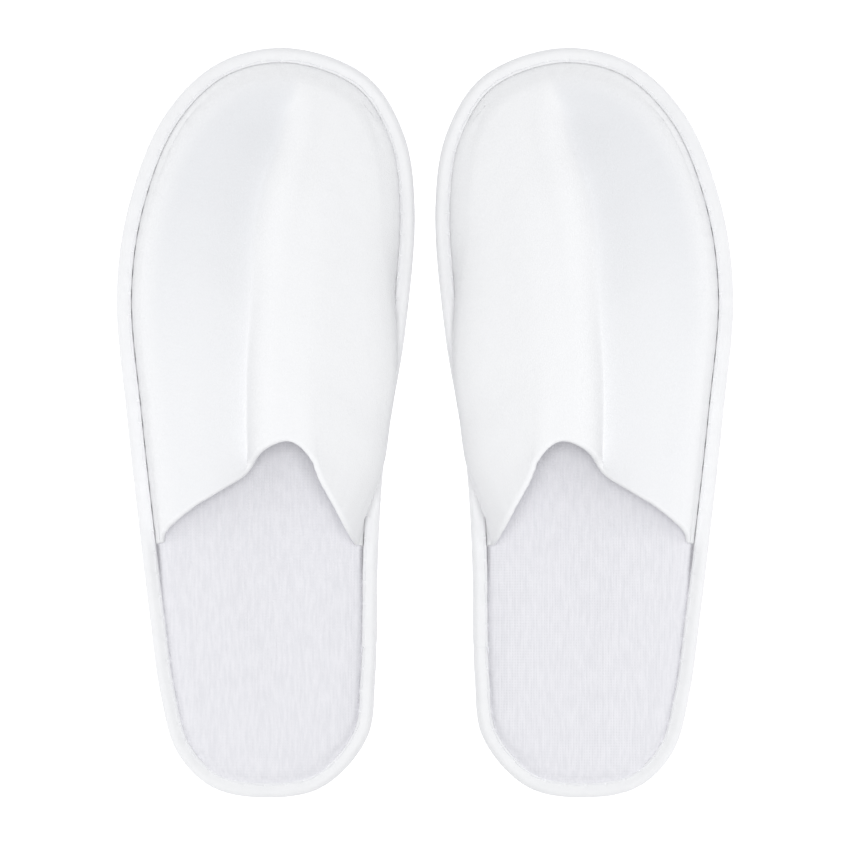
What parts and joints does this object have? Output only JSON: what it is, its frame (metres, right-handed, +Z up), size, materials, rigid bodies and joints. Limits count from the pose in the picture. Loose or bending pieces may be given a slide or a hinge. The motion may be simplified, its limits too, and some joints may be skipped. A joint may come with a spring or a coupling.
{
  "type": "spa slippers",
  "caption": "Pair of soft closed-toe spa slippers with a padded insole, a velour upper with a wide mouth, a stitched tape edge and a flat foam sole.",
  "frame": {"origin": "on the floor under the centre of the pair, half way between the two slippers", "axes": "+X to the wearer's right, +Y to the toes, +Z up; the plane x = 0 mirrors one slipper into the other"},
  "size_m": [0.2386, 0.2901, 0.039],
  "materials": {
    "white_eva": "matte",
    "sponge": "matte",
    "ribbed_cloth": "matte",
    "lining_cloth": "matte",
    "velour": "matte",
    "binding_tape": "matte",
    "thread": "satin"
  },
  "bodies": {
    "left_slipper": {"left_outsole": "white_eva", "left_insole_foam": "sponge", "left_insole_cover": "ribbed_cloth", "left_upper_lining": "lining_cloth", "left_upper_foam": "sponge", "left_upper_face": "velour", "left_mouth_seam_thread": "thread", "left_edge_binding": "binding_tape", "left_needle_thread": "thread", "left_bobbin_thread": "thread"},
    "right_slipper": {"right_outsole": "white_eva", "right_insole_foam": "sponge", "right_insole_cover": "ribbed_cloth", "right_upper_lining": "lining_cloth", "right_upper_foam": "sponge", "right_upper_face": "velour", "right_mouth_seam_thread": "thread", "right_edge_binding": "binding_tape", "right_needle_thread": "thread", "right_bobbin_thread": "thread"}
  },
  "joints": [
    {"name": "right_slipper_lift", "type": "slide", "parent": "left_slipper", "child": "right_slipper", "axis": [0, 0, 1], "range_m": [0, 0.1]}
  ]
}
